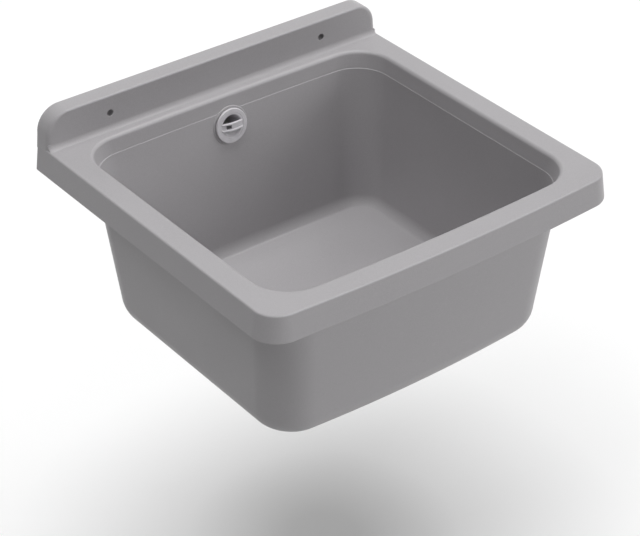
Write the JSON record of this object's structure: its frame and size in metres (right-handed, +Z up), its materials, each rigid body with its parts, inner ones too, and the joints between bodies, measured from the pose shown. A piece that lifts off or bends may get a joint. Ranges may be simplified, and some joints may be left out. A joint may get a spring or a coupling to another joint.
{
  "type": "wall-mounted utility sink",
  "caption": "Matt grey moulded utility sink for a wall, with splashback, flared skirt, deep bowl, overflow rosette and strainer waste with a lift-out plug.",
  "frame": {"origin": "midway between the two wall screw holes, on the wall plane", "axes": "+Y into the wall, +X to the right of someone facing the wall, +Z up"},
  "size_m": [0.5526, 0.5203, 0.3685],
  "materials": {
    "basin_grey": "matt moulded polypropylene with a fine grain",
    "rosette_grey": "satin light grey plastic",
    "fitting_white": "satin white polypropylene",
    "black_rubber": "matt rubber",
    "steel": "pressed stainless steel",
    "brass": "turned brass"
  },
  "bodies": {
    "sink": {"basin": "basin_grey", "overflow_rosette": "rosette_grey", "overflow_gasket": "black_rubber", "overflow_elbow": "fitting_white", "elbow_pipe_seal": "black_rubber", "elbow_pipe_nut": "fitting_white", "overflow_pipe": "fitting_white", "branch_pipe_seal": "black_rubber", "branch_pipe_nut": "fitting_white", "waste_body": "fitting_white", "waste_gasket": "black_rubber", "strainer_gasket": "black_rubber", "strainer": "steel", "strainer_screw": "steel", "brass_nut": "brass"},
    "plug": {"waste_plug": "black_rubber", "plug_eye": "steel"},
    "ring": {"pull_ring": "steel"}
  },
  "joints": [
    {"name": "plug_lift", "type": "slide", "parent": "sink", "child": "plug", "axis": [0, 0, 1], "range_m": [0, 0.33]},
    {"name": "ring_tilt", "type": "hinge", "parent": "plug", "child": "ring", "pos_m": [0, -0.262, -0.2567], "axis": [0, -1, 0], "range_deg": [0, 207]}
  ]
}
